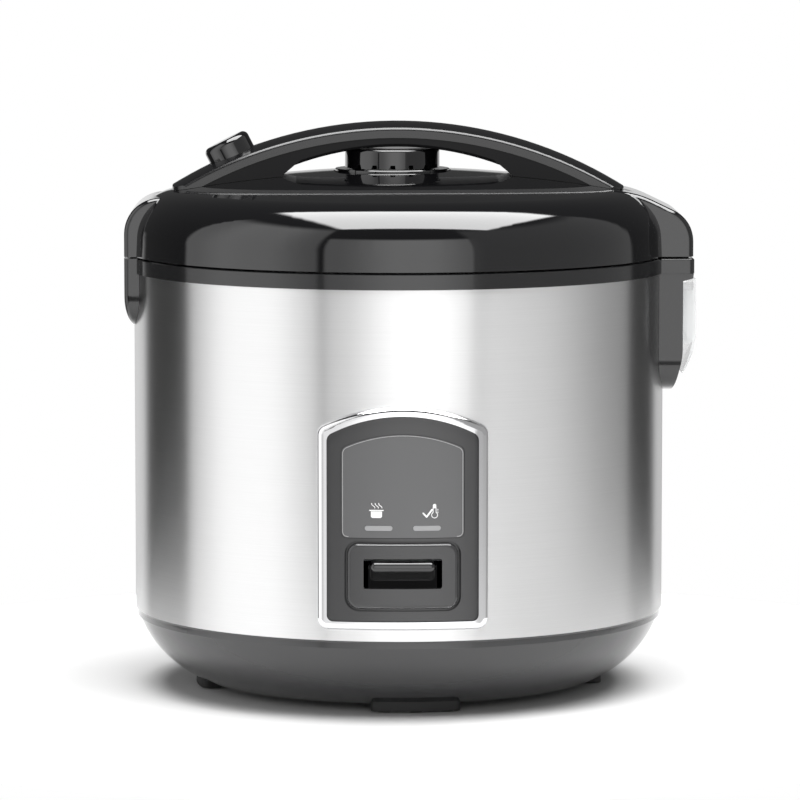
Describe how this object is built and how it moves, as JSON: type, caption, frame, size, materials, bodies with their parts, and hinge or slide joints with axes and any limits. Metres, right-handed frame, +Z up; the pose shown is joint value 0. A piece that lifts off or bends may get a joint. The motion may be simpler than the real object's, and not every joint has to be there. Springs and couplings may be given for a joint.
{
  "type": "rice cooker",
  "caption": "Jar-type rice cooker with a domed lid, arch handle, steam cap, latch button, lever switch, inner pot and dew collector.",
  "frame": {"origin": "on the body's axis at the level of the table the feet stand on", "axes": "+Z up, -Y towards the front with the control panel, +X towards the lid hinge, -X towards the latch"},
  "size_m": [0.3003, 0.2884, 0.2989],
  "materials": {
    "lid_black": "polished",
    "handle_black": "satin gloss",
    "collar_black": "satin gloss",
    "base_grey": "satin gloss",
    "steel": "horizontally brushed",
    "chrome": "polished",
    "panel_black": "satin gloss",
    "window_grey": "satin",
    "lamp_lens": "translucent",
    "clear_plastic": "clear",
    "rubber_black": "matte",
    "silicone": "matte",
    "aluminium": "satin",
    "pot_coating": "non-stick coating",
    "zinc_sheet": "galvanised",
    "zinc_steel": "plated",
    "inner_plastic": "moulded",
    "circuit_board": "solder mask",
    "brass": "plain",
    "wire_sleeve": "silicone sleeve"
  },
  "bodies": {
    "cooker": {"base_shell": "base_grey", "foot_front": "rubber_black", "foot_right": "rubber_black", "foot_rear": "rubber_black", "foot_left": "rubber_black", "base_screws": "zinc_steel", "outer_shell": "steel", "collar_ring": "collar_black", "hinge_housing": "collar_black", "hinge_pin": "zinc_steel", "lid_spring": "zinc_steel", "inner_liner": "zinc_sheet", "heating_plate": "aluminium", "heating_element": "zinc_steel", "plate_spacers": "zinc_steel", "thermostat_bracket": "zinc_sheet", "sensor_spring": "zinc_steel", "warm_heater": "zinc_sheet", "thermal_fuse": "zinc_steel", "panel_frame": "chrome", "control_panel": "panel_black", "panel_window": "window_grey", "cook_lamp": "lamp_lens", "warm_lamp": "lamp_lens", "lamp_board": "circuit_board", "switch_surround": "panel_black", "lever_bracket": "zinc_sheet", "lever_pin": "zinc_steel", "micro_switch": "inner_plastic", "power_inlet": "inner_plastic", "inlet_pins": "brass", "inner_wiring": "wire_sleeve"},
    "lid": {"lid_cover": "lid_black", "lid_hinge_arm": "inner_plastic", "lid_liner": "inner_plastic", "latch_pin": "zinc_steel", "inner_lid_plate": "aluminium", "lid_gasket": "silicone", "lid_grommet": "silicone", "vent_base": "lid_black", "handle_upper": "handle_black", "handle_lower": "handle_black", "handle_screws": "zinc_steel", "button_spring": "zinc_steel"},
    "vent_cap": {"vent_cap": "lid_black"},
    "release_button": {"release_button": "lid_black"},
    "latch_hook": {"latch_hook": "inner_plastic"},
    "cook_lever": {"cook_lever": "lid_black"},
    "magnet": {"magnet_rod": "zinc_steel", "magnet": "zinc_steel"},
    "sensor_cap": {"sensor_cap": "aluminium"},
    "dew_collector": {"dew_collector": "clear_plastic"},
    "inner_pot": {"inner_pot": "pot_coating"}
  },
  "joints": [
    {"name": "lid_hinge", "type": "hinge", "parent": "cooker", "child": "lid", "pos_m": [0.1514, 0, 0.224], "axis": [0, 1, 0], "range_deg": [0, 85], "deforming": ["lid_spring"]},
    {"name": "vent_cap_twist", "type": "hinge", "parent": "lid", "child": "vent_cap", "pos_m": [-0.0034, 0, 0.28], "axis": [0, 0, 1], "range_deg": [0, 25]},
    {"name": "release_button_press", "type": "slide", "parent": "lid", "child": "release_button", "axis": [0.454, 0, -0.891], "range_m": [0, 0.0035], "stiffness_N_per_m": 400, "springref_m": -0.004, "deforming": ["button_spring"]},
    {"name": "latch_hook_swing", "type": "hinge", "parent": "lid", "child": "latch_hook", "pos_m": [-0.127, 0, 0.243], "axis": [0, 1, 0], "range_deg": [0, 4.2]},
    {"name": "cook_lever_press", "type": "hinge", "parent": "cooker", "child": "cook_lever", "pos_m": [0, -0.072, 0.068], "axis": [1, 0, 0], "range_deg": [0, 5.8]},
    {"name": "magnet_lift", "type": "slide", "parent": "cooker", "child": "magnet", "axis": [0, 0, 1], "range_m": [0, 0.0075]},
    {"name": "sensor_plunge", "type": "slide", "parent": "cooker", "child": "sensor_cap", "axis": [0, 0, 1], "range_m": [-0.002, 0], "stiffness_N_per_m": 600, "springref_m": 0.004, "deforming": ["sensor_spring"]},
    {"name": "dew_collector_pull", "type": "slide", "parent": "cooker", "child": "dew_collector", "axis": [1, 0, 0], "range_m": [0, 0.03]},
    {"name": "pot_turn", "type": "hinge", "parent": "cooker", "child": "inner_pot", "pos_m": [0, 0, 0.16], "axis": [0, 0, 1], "continuous": true}
  ],
  "couplings": [
    {"joint": "latch_hook_swing", "follows": "release_button_press", "rad_per_m": 20},
    {"joint": "magnet_lift", "follows": "cook_lever_press", "m_per_rad": 0.072}
  ]
}
